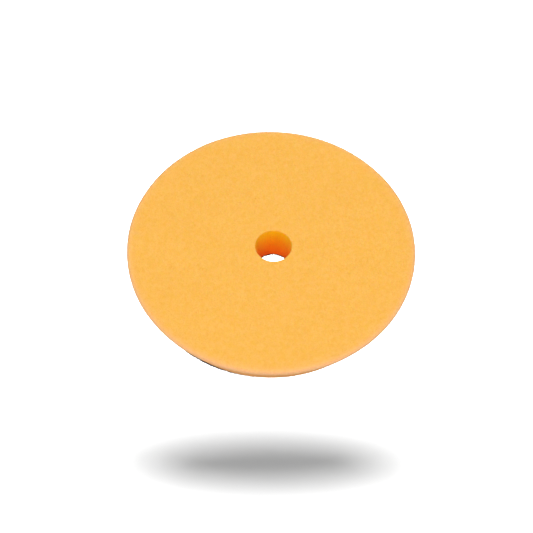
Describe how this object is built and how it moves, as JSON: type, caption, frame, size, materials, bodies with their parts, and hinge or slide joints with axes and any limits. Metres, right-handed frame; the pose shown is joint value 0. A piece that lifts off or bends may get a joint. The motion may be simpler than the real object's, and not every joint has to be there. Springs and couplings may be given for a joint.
{
  "type": "polishing pad",
  "caption": "Round foam polishing pad with a tapered side, a straight centre hole and a hook-and-loop backing, for a machine polisher's backing plate.",
  "frame": {"origin": "centre of the loop face, which grips the backing plate; also the bottom centre of the part's box", "axes": "+Z along the pad's axis, from the loop face to the working face; X and Y lie in the loop face"},
  "size_m": [0.15, 0.15, 0.0245],
  "materials": {
    "foam": "matte",
    "adhesive": "satin",
    "backing_knit": "matte",
    "loop_pile": "matte"
  },
  "bodies": {
    "root": {"foam_pad": "foam", "adhesive_film": "adhesive", "backing_fabric": "backing_knit", "loop_pile": "loop_pile"}
  },
  "joints": []
}
